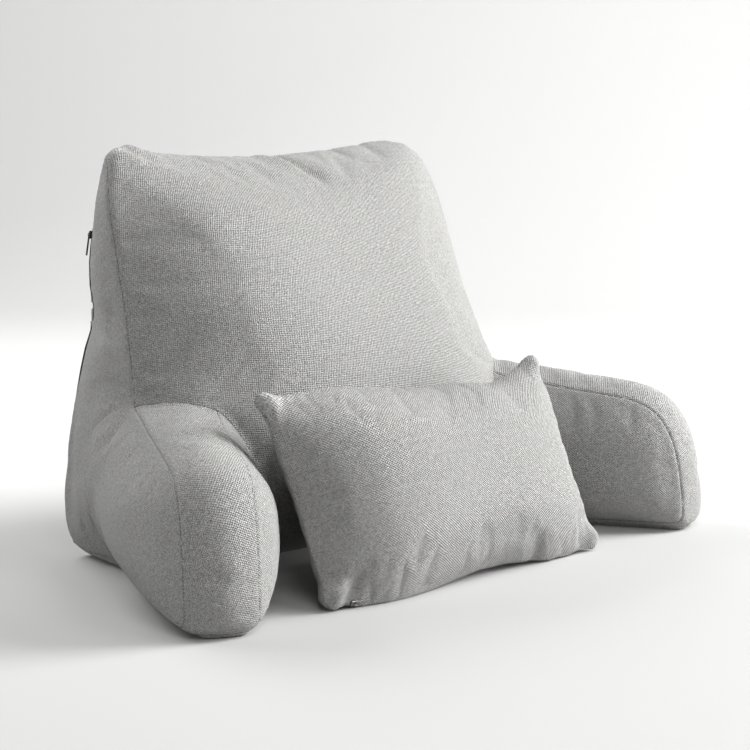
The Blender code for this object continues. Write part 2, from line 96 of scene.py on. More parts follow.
# Creases in its own frame (along, up, out), as for the pillow.
LUMBAR_CREASES = (
    (-0.0015, 0.0070, "end", ((-0.222, 0.236, 0.004), (-0.206, 0.226, 0.018), (-0.192, 0.216, 0.026))),
    (-0.0035, 0.0070, "end", ((0.196, 0.012, 0.006), (0.190, 0.034, 0.022), (0.180, 0.052, 0.034))),
    (-0.0030, 0.0070, "end", ((0.215, 0.036, 0.004), (0.196, 0.044, 0.018), (0.176, 0.050, 0.034))),
    (-0.0035, 0.0080, "end", ((0.112, 0.003, 0.006), (0.104, 0.024, 0.026), (0.100, 0.048, 0.040))),
    (0.0025, 0.0120, "end", ((0.140, 0.004, 0.006), (0.132, 0.026, 0.026), (0.128, 0.050, 0.040))),
    (-0.0030, 0.0080, "end", ((-0.206, 0.010, 0.006), (-0.190, 0.030, 0.022), (-0.170, 0.048, 0.036))),
)

# Creases of the pillow: rise, breadth, which ends fade out, places that it runs through.
PILLOW_CREASES = (
    (-0.0060, 0.0080, "end", ((-0.2614, 0.179, 0.487), (-0.2480, 0.158, 0.487), (-0.220, 0.142, 0.482))),
    (0.0050, 0.0120, "end", ((-0.2660, 0.172, 0.500), (-0.2418, 0.156, 0.503), (-0.212, 0.146, 0.498))),
    (-0.0022, 0.0070, "end", ((-0.2330, 0.190, 0.514), (-0.2200, 0.165, 0.508), (-0.194, 0.143, 0.494))),
    (0.0040, 0.0120, "end", ((-0.2163, 0.185, 0.513), (-0.1980, 0.163, 0.508), (-0.172, 0.146, 0.496))),
    (-0.0030, 0.0070, "end", ((-0.1204, 0.182, 0.503), (-0.1126, 0.163, 0.498), (-0.1036, 0.148, 0.490))),
    (
        -0.0070,
        0.0090,
        "end",
        ((0.018, 0.185, 0.500), (0.0293, 0.154, 0.491), (0.0429, 0.126, 0.475), (0.050, 0.100, 0.455)),
    ),
    (0.0040, 0.0120, "end", ((0.002, 0.185, 0.504), (0.012, 0.154, 0.495), (0.026, 0.122, 0.477))),
    (-0.0025, 0.0060, "end", ((0.1270, 0.194, 0.503), (0.1291, 0.162, 0.499), (0.132, 0.140, 0.487))),
    (-0.0025, 0.0060, "end", ((0.1844, 0.198, 0.509), (0.1809, 0.166, 0.504), (0.178, 0.145, 0.492))),
    (-0.0030, 0.0070, "end", ((0.2374, 0.180, 0.515), (0.2556, 0.1675, 0.508), (0.262, 0.150, 0.490))),
    (
        -0.0020,
        0.0100,
        "start end",
        ((-0.3252, 0.0556, 0.198), (-0.3362, 0.087, 0.165), (-0.3111, 0.142, 0.124), (-0.3122, 0.148, 0.092)),
    ),
    (
        -0.0030,
        0.0080,
        "start",
        ((-0.3111, 0.142, 0.124), (-0.3134, 0.141, 0.055), (-0.310, 0.126, 0.026), (-0.3025, 0.120, 0.010)),
    ),
    (
        -0.0060,
        0.0110,
        "start end",
        ((-0.306, -0.045, 0.206), (-0.2905, -0.063, 0.199), (-0.268, -0.083, 0.186)),
    ),
    (
        0.0035,
        0.0120,
        "start end",
        ((-0.318, -0.052, 0.206), (-0.302, -0.075, 0.199), (-0.284, -0.098, 0.186)),
    ),
    (-0.0050, 0.0060, "", ((-0.4332, -0.1767, 0.007), (-0.4321, -0.1973, 0.002))),
    # The cloth that bridges the arm and the side of the back.
    (
        0.0100,
        0.0330,
        "start end",
        ((-0.320, 0.085, 0.220), (-0.316, 0.118, 0.150), (-0.314, 0.130, 0.090), (-0.310, 0.125, 0.020)),
    ),
    # The full roll of the top left corner.
    (0.0045, 0.0180, "", ((-0.258, 0.185, 0.500), (-0.248, 0.186, 0.510))),
    (0.0030, 0.0140, "end", ((-0.222, 0.186, 0.515), (-0.205, 0.176, 0.514), (-0.180, 0.160, 0.508))),
    # The lips that close over the lower part of the side zip.
    (
        0.0080,
        0.0080,
        "end",
        (
            (-0.285, 0.221, 0.002),
            (-0.290, 0.225, 0.016),
            (-0.293, 0.228, 0.038),
            (-0.288, 0.230, 0.114),
            (-0.275, 0.227, 0.205),
            (-0.265, 0.225, 0.250),
        ),
    ),
)
# Parts of a crease's length over which it grows at its start and fades at its end.
CREASE_START, CREASE_END = (0.0, 0.35), (0.55, 1.0)
# The front panels stand up steeply beside their left seam: rise, where it is fullest, reach.
FRONT_ROLL = (0.0185, 0.12, 0.40)
LUMBAR_ROLL, LUMBAR_LOWER_ROLL = (0.0130, 0.100, 0.29), (0.0015, 0.030, 0.12)
# Levels over which the back's roll comes in above the lumbar cushion, and goes out below the top.
FRONT_ROLL_FOOT, FRONT_ROLL_TOP = (0.24, 0.32), (0.42, 0.485)

# The side zip: the corner that it runs up, the hem of the cloth beside it and where that ends,
# and the level up to which the cloth's lips close over it.
ZIP_CORNER_X, ZIP_CORNER_Y = -0.2, 0.2
ZIP_HEM, ZIP_HEM_TOP, ZIP_HEM_FRONT, ZIP_LIPS_TOP = 0.0140, 0.47, 0.15, 0.20

# Cuts beside each seam, and how far the cloth sinks or puffs at a distance from it.
SEAM_LINES = (0.0, -0.0012, 0.0012, -0.003, 0.003)
SEAM_PROFILE = (
    (0.0, 0.0012, 0.003, 0.006, 0.012),
    (-0.0012, -0.0002, 0.0003, 0.0003, 0.0),
)
HEM_LINES = SEAM_LINES[:3]
SEAM_REACH = 0.02
# Band beside a line that is cut, and how near to it a vertex counts as on it.
CUT_BAND, CUT_SNAP = 0.012, 0.0004
# How far the cuts of an arm and of the back run on past the joint between them.
JOINT_BAND = 0.006
# The valley between the back's side and the arm: reach, clearances of seam and floor, smoothing.
VALLEY_REACH, VALLEY_FROM_SEAM, VALLEY_FROM_FLOOR, VALLEY_PASSES = 0.050, 0.004, 0.006, 140
# Passes that smooth the grid's facets.
FACET_PASSES, LUMBAR_FACET_PASSES = 6, 4

# Size of the grids that the covers start from, and how far the arms grow into the back's grid.
BODY_GRAIN, LUMBAR_GRAIN = 0.0052, 0.0034
ARM_OVERLAP = 0.001
# Gap under which doubles merge, and the least length and area to divide by.
MERGE_GAP, TINY, TINY_AREA = 0.00001, 1e-9, 1e-12

# Weave: breadths of the yarns, the relief of the cloth, and its two colours.
YARN_ACROSS, YARN_UP, YARN_RELIEF = 0.0018, 0.0015, 0.0020
LIGHT_YARN, DARK_YARN = (0.465, 0.464, 0.453, 1.0), (0.317, 0.314, 0.302, 1.0)
# How mottled it is, how fine its slubs and its grain are, and what yarns and grain add in relief.
HEATHER, SLUB_SCALES, GRAIN_SCALE = 0.90, (500.0, 160.0), 600.0
YARN_HEIGHT, GRAIN_HEIGHT = 0.50, 0.80
MEAN_OF_THREE_NOISES = 1.5
# How far the yarns wander, and how often.
WANDER, WANDER_SCALE = 0.0024, 110.0
# Painted shade in the grooves of the seams and the hem: how dark it is, and how far from a seam the cloth is
# its own colour again.
SEAM_PAINTED_SHADE, SEAM_LINE = 0.22, 0.0010
CLOTH_ROUGHNESS, CLOTH_SHEEN, CLOTH_GLOSS = 0.92, 0.15, 0.2

# Stitches and teeth: pitch, length and breadth, and the level above which stitches show.
STITCH_PITCH, STITCH_LENGTH, STITCH_BREADTH, STITCHED_ABOVE = 0.0042, 0.0030, 0.0008, 0.008
TOOTH_PITCH, TOOTH_LENGTH, TOOTH_BREADTH = 0.0022, 0.0026, 0.0013
# Beads that are made together, and the facets of each.
ROW_OF_BEADS, BEAD_SEGMENTS, BEAD_RINGS = 25, 6, 4
# The side zip's chain: bare length at its top, reach of one of its rings, way that it faces.
CHAIN_END, CHAIN_RING, CHAIN_OUTWARD = 0.002, 0.002, (-1.0, 1.0, 0.0)
THREAD_COLOUR = (0.40, 0.40, 0.39)
TAPE_COLOUR, TEETH_COLOUR = (0.06, 0.06, 0.06), (0.24, 0.24, 0.23)
DARK_METAL, BRIGHT_METAL = (0.045, 0.045, 0.045), (0.24, 0.235, 0.23)

# Studio: white paper sweep behind the cushion, and softboxes in a dark room.
SWEEP_FRONT, SWEEP_BEND, SWEEP_RADIUS, SWEEP_WALL, SWEEP_HALF_WIDTH = -6.0, 2.6, 1.4, 4.0, 9.0
SWEEP_STEPS = 24
PAPER_COLOUR, PAPER_ROUGHNESS = (0.485, 0.485, 0.48), 0.9
LIT_POINT = (0.0, 0.0, 0.2)
# Name, angle from +X, angle above the floor, distance, diameter, watts.
SOFTBOXES = (
    ("left_card", -180, 10, 2.5, 1.3, 7),
    ("front_left_card", -120, 35, 2.5, 1.3, 18),
    ("right_low_softbox", -30, 10, 4.0, 2.1, 228),
    ("right_softbox", -30, 35, 4.0, 2.1, 175),
    ("rear_softbox", 90, 35, 2.5, 1.3, 34),
    ("rear_left_softbox", 120, 35, 2.5, 1.3, 25),
    ("top_front_softbox", -60, 65, 2.5, 1.3, 19),
)
# The paper's glow grows from beside the cushion to the wall.
GLOW_FROM, GLOW_TO, GLOW = -0.6, 3.2, 0.31

# Filling: pressure, stiffness of the pins and of the cloth, slack.
PRESSURE, PIN_STIFFNESS, CLOTH_BENDING, CLOTH_SLACK = 4.0, 1.0, 2.0, 0.01
# Frames, steps of the hold, and passes that part the broad swelling from the creases.
FILLING_FRAMES, HOLD_LEVELS, BROAD_PASSES = 20, 10, 60
# Inset of the start, cap of the broad swelling, cap of a crease.
PILLOW_FILLING = (0.001, 0.002, 0.003)
LUMBAR_FILLING = (0.001, 0.003, 0.0016)
# How far from a seam it holds the cloth.
SEAM_HOLD, LUMBAR_HOLD = 0.007, 0.004
# Levels over which the floor lets go of the cloth.
FLOOR_HOLD = (0.008, 0.03)
# How much of its creases the cloth keeps in the middle of a panel and at a seam, the distances
# from a seam over which that changes, and the levels over which the top edge gets all of them.
CALM_MIDDLE, CALM_SEAM = 0.3, 0.35
MIDDLE_FADE, SEAM_FADE, TOP_FADE = (0.02, 0.09), (0.002, 0.012), (0.42, 0.49)
# How far past the joint of arm and back a seam still counts, and how much less the joint holds.
JOINT_SIDE, JOINT_SLACK = 0.01, 0.004

# Panels of cloth.
FRONT, SIDE_LEFT, SIDE_RIGHT, REAR, BASE, STRIP_LEFT, STRIP_RIGHT = range(1, 8)
INNER_LEFT, INNER_RIGHT, LUMBAR_FRONT, LUMBAR_REAR = range(8, 12)


def camera():
    made = bpy.data.objects.new("camera", bpy.data.cameras.new("camera"))
    bpy.context.scene.collection.objects.link(made)
    azimuth, elevation = math.radians(CAMERA_AZIMUTH), math.radians(CAMERA_ELEVATION)
    level = math.cos(elevation)
    back = Vector((math.sin(azimuth) * level, -math.cos(azimuth) * level, math.sin(elevation)))
    right = Vector((math.cos(azimuth), math.sin(azimuth), 0.0))
    turned = Matrix((right, back.cross(right), back)).transposed().to_4x4()
    made.matrix_world = Matrix.Translation(CAMERA_PLACE) @ turned
    made.data.sensor_width = SENSOR
    made.data.lens = SENSOR / 2 / math.tan(math.radians(CAMERA_VIEW / 2))
    bpy.context.scene.camera = made


# Meshes


def new_object(name, shell):
    """Frees the bmesh into a new object at the origin."""
    mesh = bpy.data.meshes.new(name)
    shell.to_mesh(mesh)
    shell.free()
    made = bpy.data.objects.new(name, mesh)
    bpy.context.scene.collection.objects.link(made)
    return made


def node_copy(node, grown=0.0):
    """A bmesh of a CAD node with its doubles merged, grown outwards."""
    shell = bmesh.new()
    shell.from_mesh(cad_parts[node].data)
    bmesh.ops.remove_doubles(shell, verts=shell.verts, dist=MERGE_GAP)
    shell.normal_update()
    moved = [(vert, vert.normal * grown) for vert in shell.verts]
    for vert, offset in moved:
        vert.co += offset
    return shell


def solid_tree(node):
    """Search tree of a CAD node's surface."""
    shell = node_copy(node)
    tree = BVHTree.FromBMesh(shell)
    shell.free()
    return tree


def joined(shells):
    """Frees the bmeshes into one."""
    whole = bmesh.new()
    for shell in shells:
        mesh = bpy.data.meshes.new("joined")
        shell.to_mesh(mesh)
        shell.free()
        whole.from_mesh(mesh)
        bpy.data.meshes.remove(mesh)
    return whole


def baked(made):
    """Puts the object's modifiers into its mesh."""
    graph = bpy.context.evaluated_depsgraph_get()
    mesh = bpy.data.meshes.new_from_object(made.evaluated_get(graph))
    made.modifiers.clear()
    made.data = mesh


def remeshed(made, grain):
    """Gives the object one closed skin on an even grid."""
    grid = made.modifiers.new("grid", "REMESH")
    grid.mode = "VOXEL"
    grid.voxel_size = grain
    baked(made)


def values_of(items, name, width=1, kind=float):
    """A property of each of a mesh's parts, as a row for each part where it is wider than one."""
    found = np.zeros(len(items) * width, kind)
    items.foreach_get(name, found)
    return found.reshape(-1, width) if width > 1 else found


def coordinates(mesh):
    return values_of(mesh.vertices, "co", 3)


def places(shell):
    return np.array([tuple(vert.co) for vert in shell.verts])


def move_to(shell, points):
    for vert, point in zip(shell.verts, points):
        vert.co = point
    shell.normal_update()


def normals(shell):
    return np.array([tuple(vert.normal) for vert in shell.verts])


def raised(shell, lift):
    """Moves the cloth outwards by its lift, and keeps it off the floor."""
    points = places(shell) + normals(shell) * lift[:, None]
    points[:, 2] = np.maximum(points[:, 2], 0.0)
    move_to(shell, points)


def smoothed(shell, verts, passes):
    every_way = {"use_axis_x": True, "use_axis_y": True, "use_axis_z": True}
    for _ in range(passes):
        bmesh.ops.smooth_vert(shell, verts=list(verts), factor=0.5, **every_way)


def eased(value, low, high):
    """0 at low, 1 at high, with a soft start and end."""
    t = np.clip((value - low) / (high - low), 0.0, 1.0)
    return t * t * (3 - 2 * t)


# Panels of the pillow's cover


def seam_at(column, heights):
    """A column of BACK_SEAMS at the heights."""
    table = np.array(BACK_SEAMS)
    return np.interp(heights, table[:, 0], table[:, BACK_SEAM_COLUMNS.index(column)])


def in_plan(points):
    """Points in plan, those of the left side folded over to the right."""
    return np.column_stack([np.abs(points[:, 0]), points[:, 1]])


def past_arm_seam(points, foot, heel, swell, inner):
    """How far points lie out of the arm's seam, on the side away from the strip."""
    run = np.subtract(heel, foot)
    run = run / np.linalg.norm(run)
    outward = np.array([-run[1], run[0]]) if inner else np.array([run[1], -run[0]])
    offset = in_plan(points) - foot
    along = np.clip(offset @ run / ARM_SWELL_LENGTH, 0, 1)
    low = np.clip(1 - points[:, 2] / ARM_SWELL_HEIGHT, 0, 1)
    swelling = np.sin(math.pi * along) ** ARM_SWELL_ROUNDNESS * low**ARM_SWELL_FADE
    return offset @ outward - swell * swelling


def past_inner_seam(points):
    return past_arm_seam(points, INNER_FOOT, INNER_HEEL, INNER_SWELL, True)


def past_outer_seam(points):
    return past_arm_seam(points, OUTER_FOOT, OUTER_HEEL, OUTER_SWELL, False)


def out_of_side(points):
    """How far points lie out of the flat that spans a side panel of the back cushion."""
    front = np.column_stack([seam_at("front_x", points[:, 2]), seam_at("front_y", points[:, 2])])
    rear = np.column_stack([seam_at("rear_x", points[:, 2]), seam_at("rear_y", points[:, 2])])
    run = rear - front
    run /= np.linalg.norm(run, axis=1)[:, None]
    offset = in_plan(points) - front
    return offset[:, 0] * run[:, 1] - offset[:, 1] * run[:, 0]


def in_front(points):
    """Above zero on the front panel, which rolls over the top edge."""
    ahead = seam_at("front_y", points[:, 2]) - points[:, 1]
    return np.maximum(ahead, -out_of_side(points) - TOP_CORNER_INSET)


def in_rear(points):
    """Above zero on the rear panel."""
    behind = points[:, 1] - seam_at("rear_y", points[:, 2]) + REAR_SEAM_INSET
    inward = seam_at("rear_x", points[:, 2]) - np.abs(points[:, 0])
    return np.minimum(behind, inward + points[:, 1] - seam_at("rear_y", points[:, 2]))


def above_base(points):
    """How far points lie above the seam of the base panel."""
    strip = (past_inner_seam(points) < 0) & (past_outer_seam(points) < 0)
    return points[:, 2] - np.where(strip, STRIP_BASE_SEAM, BASE_SEAM)


def panel_of(points, off_arm):
    """The cut panel of cloth that each point of the pillow's cover belongs to."""
    left = points[:, 0] < 0
    side = np.where(left, SIDE_LEFT, SIDE_RIGHT)
    arm = np.where(past_outer_seam(points) > 0, side, np.where(left, STRIP_LEFT, STRIP_RIGHT))
    arm = np.where(past_inner_seam(points) > 0, np.where(left, INNER_LEFT, INNER_RIGHT), arm)
    back = np.where(in_front(points) > 0, FRONT, side)
    back = np.where(in_rear(points) > 0, REAR, back)
    return np.where(above_base(points) < 0, BASE, np.where(off_arm < 0, arm, back))


def gaps_between(points, arm_trees, back_tree):
    """How much nearer each point is to the back cushion than to an arm; below zero on an arm."""
    found = []
    for point in points:
        place = Vector(point)
        to_arm = min(tree.find_nearest(place, 1.0)[3] for tree in arm_trees)
        found.append(to_arm - back_tree.find_nearest(place, 1.0)[3])
    return np.array(found)


def keep_rest(shell, points, gaps):
    """Notes where each vertex lay before the filling, and how far off the arms it is."""
    rest = shell.verts.layers.float_vector.new("rest")
    off_arm = shell.verts.layers.float.new("off_arm")
    shell.verts.layers.float_vector.new("true_place")
    for vert, point, gap in zip(shell.verts, points, gaps):
        vert[rest] = point
        vert[off_arm] = gap


def rest_of(shell):
    """What keep_rest noted, for each vertex."""
    rest = shell.verts.layers.float_vector["rest"]
    off_arm = shell.verts.layers.float["off_arm"]
    points = np.array([tuple(vert[rest]) for vert in shell.verts])
    return points, np.array([vert[off_arm] for vert in shell.verts])


def everywhere(points, gaps):
    return np.ones(len(points), bool)


def on_arm(points, gaps):
    return gaps < JOINT_BAND


def on_back(points, gaps):
    return gaps > -JOINT_BAND


def on_back_but_rear(points, gaps):
    return on_back(points, gaps) & (points[:, 1] < seam_at("rear_y", points[:, 2]))


def beside_zip(points, gaps):
    return on_back(points, gaps) & (points[:, 0] < 0) & (points[:, 2] > ZIP_LIPS_TOP)


def zip_hem(points):
    return in_rear(points) + ZIP_HEM


def cut_where(shell, level, region, offsets):
    """Cuts the shell where the level has the offsets. No level means the joint of arm and back."""
    for offset in offsets:
        shell.verts.index_update()
        points, gaps = rest_of(shell)
        height = (level(points) if level else gaps) - offset
        near = (np.abs(height) < CUT_BAND) & region(points, gaps)
        picked = [vert for vert, keep in zip(shell.verts, near) if keep]
        faces = {face for vert in picked for face in vert.link_faces}
        faces = [face for face in faces if all(near[vert.index] for vert in face.verts)]
        edges = {edge for face in faces for edge in face.edges}
        verts = {vert for face in faces for vert in face.verts}
        true_place = shell.verts.layers.float_vector["true_place"]
        for vert in verts:
            vert[true_place] = vert.co
            vert.co = (height[vert.index], vert.co.y, vert.co.z)
        parts = [*verts, *edges, *faces]
        across = {"plane_co": (0, 0, 0), "plane_no": (1, 0, 0), "dist": CUT_SNAP}
        made = bmesh.ops.bisect_plane(shell, geom=parts, **across)["geom"]
        verts.update(part for part in made if isinstance(part, bmesh.types.BMVert))
        for vert in verts:
            vert.co = vert[true_place]


def pillow_cuts(shell):
    """Cuts every seam of the pillow's cover and the lines beside it."""
    cut_where(shell, None, everywhere, SEAM_LINES)
    cut_where(shell, past_inner_seam, on_arm, SEAM_LINES)
    cut_where(shell, past_outer_seam, on_arm, SEAM_LINES)
    cut_where(shell, in_front, on_back_but_rear, SEAM_LINES)
    cut_where(shell, in_rear, on_back, SEAM_LINES)
    cut_where(shell, above_base, everywhere, SEAM_LINES)
    cut_where(shell, zip_hem, beside_zip, HEM_LINES)


def face_middles(shell):
    """Middle of each face where it lay before the filling, and how far off the arms it is."""
    rest = shell.verts.layers.float_vector["rest"]
    off_arm = shell.verts.layers.float["off_arm"]
    middles = [tuple(sum((v[rest] for v in f.verts), Vector()) / len(f.verts)) for f in shell.faces]
    gaps = [sum(v[off_arm] for v in f.verts) / len(f.verts) for f in shell.faces]
    return np.array(middles), np.array(gaps)


def mark_panels(shell, panels):
    """Numbers each face's panel, and marks the edges between panels as seams."""
    layer = shell.faces.layers.int.new("panel")
    for face, panel in zip(shell.faces, panels):
        face[layer] = int(panel)
    for edge in shell.edges:
        edge.seam = len({face[layer] for face in edge.link_faces}) > 1


# Filling


def neighbour_mean(mesh, values, passes):
    """Averages values over each vertex's neighbours, pass after pass."""
    pairs = values_of(mesh.edges, "vertices", 2, int)
    here, there = np.concatenate([pairs, pairs[:, ::-1]]).T
    count = np.bincount(here, minlength=len(values))[:, None]
    for _ in range(passes):
        summed = [np.bincount(here, column[there], minlength=len(values)) for column in values.T]
        values = (values + np.column_stack(summed) / count) / 2
    return values


def filled_by_air(made, held):
    """Places of the cover's vertices after a cloth simulation with pressure inside it."""
    group = made.vertex_groups.new(name="held")
    for level in range(1, HOLD_LEVELS + 1):
        chosen = np.flatnonzero(np.round(held * HOLD_LEVELS) == level)
        group.add(chosen.tolist(), level / HOLD_LEVELS, "REPLACE")
    cloth = made.modifiers.new("filling", "CLOTH")
    cloth.settings.use_pressure = True
    cloth.settings.uniform_pressure_force = PRESSURE
    cloth.settings.effector_weights.gravity = 0
    cloth.settings.vertex_group_mass = group.name
    cloth.settings.pin_stiffness = PIN_STIFFNESS
    cloth.settings.bending_stiffness = CLOTH_BENDING
    cloth.settings.shrink_min = -CLOTH_SLACK
    cloth.point_cache.frame_start, cloth.point_cache.frame_end = 1, FILLING_FRAMES
    for step in range(1, FILLING_FRAMES + 1):
        bpy.context.scene.frame_set(step)
    graph = bpy.context.evaluated_depsgraph_get()
    after = coordinates(made.evaluated_get(graph).data)
    made.modifiers.clear()
    made.vertex_groups.clear()
    bpy.context.scene.frame_set(1)
    return after


def puffed(made, held, lively, inset, swell_cap, crease_cap):
    """Fills the cover with air.

    held is how firmly each vertex stays, and lively how much of its crease it keeps. The broad
    swelling stays under its cap, so that the outline keeps to the solids. The creases that the
    filling raises are added to it.
    """
    mesh = made.data
    before = coordinates(mesh)
    outward = values_of(mesh.vertex_normals, "vector", 3)
    start = before - outward * (inset * (1 - held))[:, None]
    mesh.vertices.foreach_set("co", start.ravel())
    moved = filled_by_air(made, held) - before
    broad = neighbour_mean(mesh, moved, BROAD_PASSES)
    sharp = moved - broad
    reach = np.linalg.norm(broad, axis=1)[:, None]
    broad *= np.minimum(1, swell_cap / np.maximum(reach, TINY))
    depth = crease_cap * np.tanh((sharp * outward).sum(1) / crease_cap) * lively
    mesh.vertices.foreach_set("co", (before + broad + depth[:, None] * outward).ravel())
    mesh.update()


def near_line(points, line):
    """Distance of points from a line through some places, and how far along it they are, 0 to 1."""
    line = np.array(line)
    best = np.full(len(points), np.inf)
    along = np.zeros(len(points))
    pieces = len(line) - 1
    for number, (start, end) in enumerate(zip(line, line[1:])):
        run = end - start
        part = np.clip((points - start) @ run / (run @ run), 0, 1)
        gap = np.linalg.norm(points - start - part[:, None] * run, axis=1)
        nearer = gap < best
        best = np.where(nearer, gap, best)
        along = np.where(nearer, (number + part) / pieces, along)
    return best, along


def roll_lift(distance, roll):
    """Rise of a panel at a distance from its seam."""
    rise, fullest, reach = roll
    return rise * eased(distance, 0.0, fullest) * (1 - eased(distance, fullest, reach))


def crease_lift(points, creases):
    """Rise of the cloth over the listed creases: troughs below zero, ridges above."""
    lift = np.zeros(len(points))
    for depth, breadth, ends, line in creases:
        gap, along = near_line(points, line)
        fade = np.ones(len(points))
        if "start" in ends:
            fade *= eased(along, *CREASE_START)
        if "end" in ends:
            fade *= 1 - eased(along, *CREASE_END)
        lift += depth * np.exp(-((gap / breadth) ** 2)) * fade
    return lift


def from_seams(points, gaps):
    """Rough distance of points of the pillow's cover from its nearest seam."""
    by_arm, by_back = gaps < JOINT_SIDE, gaps > -JOINT_SIDE
    lines = [np.abs(gaps) + JOINT_SLACK]
    lines.append(np.where(by_arm, np.abs(past_inner_seam(points)), 1))
    lines.append(np.where(by_arm, np.abs(past_outer_seam(points)), 1))
    lines.append(np.where(by_back, np.abs(in_front(points)), 1))
    lines.append(np.where(by_back, np.abs(in_rear(points)), 1))
    return np.min(lines, axis=0)


def seam_hold(distance, points):
    """How firmly the seams and the floor hold the cloth in place."""
    near = np.exp(-((distance / SEAM_HOLD) ** 2))
    return np.maximum(near, 1 - eased(points[:, 2], *FLOOR_HOLD))


def pillow_life(distance, points):
    """How much of its creases the cloth keeps: most of them near the seams and the top edge."""
    near = 1 - (1 - CALM_MIDDLE) * eased(distance, *MIDDLE_FADE)
    top = eased(points[:, 2], *TOP_FADE)
    return np.maximum(near, top) * (CALM_SEAM + (1 - CALM_SEAM) * eased(distance, *SEAM_FADE))


def front_roll_lift(points, gaps):
    """Rise of the back cushion's front panel beside its left seam, between lumbar and top edge."""
    from_left = points[:, 0] + seam_at("front_x", points[:, 2])
    heights = eased(points[:, 2], *FRONT_ROLL_FOOT) * (1 - eased(points[:, 2], *FRONT_ROLL_TOP))
    on_front = (gaps > 0) & (in_front(points) > 0)
    return on_front * roll_lift(from_left, FRONT_ROLL) * heights


def soften_valley(shell, gaps):
    """Eases the crease where the back's side panel runs into the arm's outer side."""
    points = places(shell)
    outer = (past_outer_seam(points) > VALLEY_FROM_SEAM) & (points[:, 2] > VALLEY_FROM_FLOOR)
    near = outer & (np.abs(gaps) < VALLEY_REACH)
    smoothed(shell, [vert for vert, keep in zip(shell.verts, near) if keep], VALLEY_PASSES)


def pillow_cover():
    """Back cushion and arms as one sewn cover."""
    arms = [node_copy(node, ARM_OVERLAP) for node in ("arm_left", "arm_right")]
    cover = new_object("pillow_cover", joined([node_copy("back_cushion"), *arms]))
    remeshed(cover, BODY_GRAIN)
    shell = bmesh.new()
    shell.from_mesh(cover.data)
    arm_trees = [solid_tree("arm_left"), solid_tree("arm_right")]
    smoothed(shell, shell.verts, FACET_PASSES)
    gaps = gaps_between(places(shell), arm_trees, solid_tree("back_cushion"))
    soften_valley(shell, gaps)
    shell.to_mesh(cover.data)
    flat = places(shell)
    distance = from_seams(flat, gaps)
    puffed(cover, seam_hold(distance, flat), pillow_life(distance, flat), *PILLOW_FILLING)
    move_to(shell, coordinates(cover.data))
    raised(shell, crease_lift(places(shell), PILLOW_CREASES) + front_roll_lift(flat, gaps))
    keep_rest(shell, flat, gaps)
    pillow_cuts(shell)
    mark_panels(shell, panel_of(*face_middles(shell)))
    draw_in_seams(shell, from_hem(rest_of(shell)[0]))
    shell.to_mesh(cover.data)
    shell.free()
    return cover


def closed_over(edge):
    """True of the lower part of the side zip, where the cloth's lips meet over it."""
    ends = [vert.co for vert in edge.verts]
    at_corner = all(end.x < ZIP_CORNER_X and end.y > ZIP_CORNER_Y for end in ends)
    return at_corner and all(end.z < ZIP_LIPS_TOP for end in ends)


def from_hem(points):
    """Distance of points of the pillow's cover from the hem beside the side zip."""
    left_rear = (points[:, 0] < 0) & (points[:, 1] > ZIP_HEM_FRONT)
    beside = left_rear & (points[:, 2] > ZIP_LIPS_TOP) & (points[:, 2] < ZIP_HEM_TOP)
    return np.where(beside, np.abs(zip_hem(points)), SEAM_REACH)


def draw_in_seams(shell, hem=SEAM_REACH):
    """Sinks the cloth at the seams and the hem, and notes each vertex's distance from them."""
    seams = [edge for edge in shell.edges if edge.seam and not closed_over(edge)]
    # The cloth material paints shade in the seams and the hem from this distance.
    gap_layer = shell.verts.layers.float.new("seam_gap")
    distances = np.minimum(seam_distances(shell, seams), hem)
    depths = np.interp(distances, SEAM_PROFILE[0], SEAM_PROFILE[1])
    move_to(shell, places(shell) + normals(shell) * depths[:, None])
    for vert, distance in zip(shell.verts, distances):
        vert[gap_layer] = distance


def seam_distances(shell, seams, steps=4):
    """Distance of each vertex from the nearest seam, up to the reach of the profile."""
    tree = KDTree(len(seams) * steps)
    for number, edge in enumerate(seams):
        start, end = (vert.co for vert in edge.verts)
        for step in range(steps):
            tree.insert(start.lerp(end, step / steps), number * steps + step)
    tree.balance()
    return np.array([min(tree.find(vert.co)[2], SEAM_REACH) for vert in shell.verts])


def lumbar_axes():
    """Axes of the lumbar cushion: along its width, up its height, out of its front."""
    lean, turn = math.radians(LUMBAR_LEAN), math.radians(LUMBAR_TURN)
    along = np.array([math.cos(turn), math.sin(turn), 0.0])
    rearward = np.array([-math.sin(turn), math.cos(turn), 0.0])
    up = math.cos(lean) * np.array([0, 0, 1.0]) + math.sin(lean) * rearward
    return along, up, np.cross(along, up)


def before_lumbar_seam(points):
    """How far points lie in front of the flat through the lumbar cushion's seam."""
    return (points - LUMBAR_FOOT) @ lumbar_axes()[2]


def lumbar_places(points):
    """Places in the lumbar cushion's own frame: along, up from its lower edge, out of its front."""
    return (points - LUMBAR_FOOT) @ np.array(lumbar_axes()).T


def lumbar_back(own):
    """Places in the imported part's frame of places in the lumbar cushion's own."""
    return own @ np.array(lumbar_axes()) + LUMBAR_FOOT


